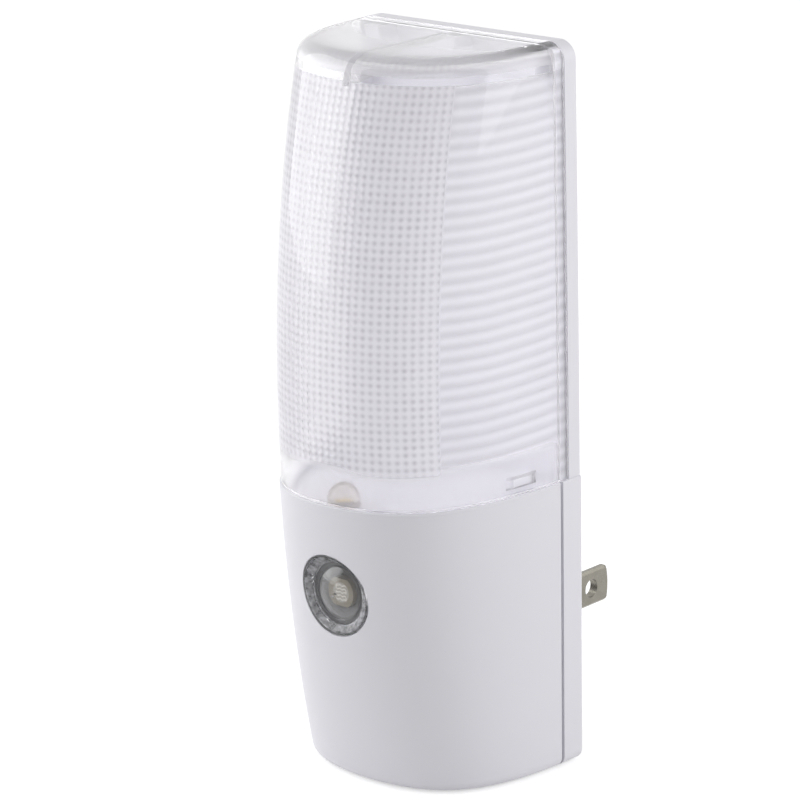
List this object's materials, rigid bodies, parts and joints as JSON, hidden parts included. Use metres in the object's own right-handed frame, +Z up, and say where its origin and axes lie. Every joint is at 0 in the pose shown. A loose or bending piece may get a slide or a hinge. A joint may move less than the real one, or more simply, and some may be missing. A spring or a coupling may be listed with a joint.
{
  "type": "plug in night light",
  "caption": "Tall D-shaped plug-in night light: white lower housing with a round dusk sensor window, clear prismatic lens above, flat two-blade plug on a turning base.",
  "frame": {"origin": "centre of the plug's face, where it meets the outlet, midway between the blades", "axes": "+Y out of the plug's face into the wall, +Z up along the light, +X to the right seen from the front"},
  "size_m": [0.0444, 0.0638, 0.12],
  "materials": {
    "white_housing": "satin moulded white plastic",
    "white_deck": "satin white plastic",
    "white_plug": "fine-textured white plastic",
    "clear_lens": "clear plastic with moulded prisms inside",
    "clear_window": "polished clear plastic",
    "dark_plastic": "black plastic",
    "grey_plastic": "grey plastic",
    "sensor_cell": "ceramic disc with a wound track under clear resin",
    "lamp_epoxy": "clear epoxy",
    "tinned_wire": "tinned wire",
    "board_laminate": "lacquered laminate",
    "capacitor_case": "moulded case",
    "capacitor_sleeve": "shrink sleeve",
    "resistor_body": "lacquer",
    "glass_diode": "clear glass",
    "screw_steel": "zinc-plated steel",
    "blade_nickel": "nickel-plated brass",
    "contact_brass": "bright brass",
    "wire_sleeve": "white wire insulation"
  },
  "bodies": {
    "plug": {"plug_base": "white_plug", "plug_blade_left": "blade_nickel", "plug_blade_right": "blade_nickel", "ring_contact": "contact_brass", "centre_contact": "contact_brass"},
    "light": {"rear_cover": "white_housing", "front_housing": "white_housing", "lens_cover": "clear_lens", "light_deck": "white_deck", "sensor_window": "clear_window", "sensor_shroud": "dark_plastic", "sensor_seat": "grey_plastic", "light_sensor": "sensor_cell", "sensor_leads": "tinned_wire", "led_lamp": "lamp_epoxy", "led_leads": "tinned_wire", "circuit_board": "board_laminate", "film_capacitor": "capacitor_case", "smoothing_capacitor": "capacitor_sleeve", "transistor": "dark_plastic", "fuse_resistor": "resistor_body", "bleed_resistor": "resistor_body", "zener_diode": "glass_diode", "rectifier_diodes": "dark_plastic", "control_resistors": "resistor_body", "board_screws": "screw_steel", "housing_screws": "screw_steel", "plug_retainer": "white_plug", "retainer_screws": "screw_steel", "ring_leaf": "contact_brass", "centre_leaf": "contact_brass", "leaf_rivets": "contact_brass", "lead_wire_live": "wire_sleeve", "lead_wire_neutral": "wire_sleeve"}
  },
  "joints": [
    {"name": "plug_swivel", "type": "hinge", "parent": "plug", "child": "light", "pos_m": [0, 0, 0], "axis": [0, 1, 0], "range_deg": [0, 90]}
  ]
}
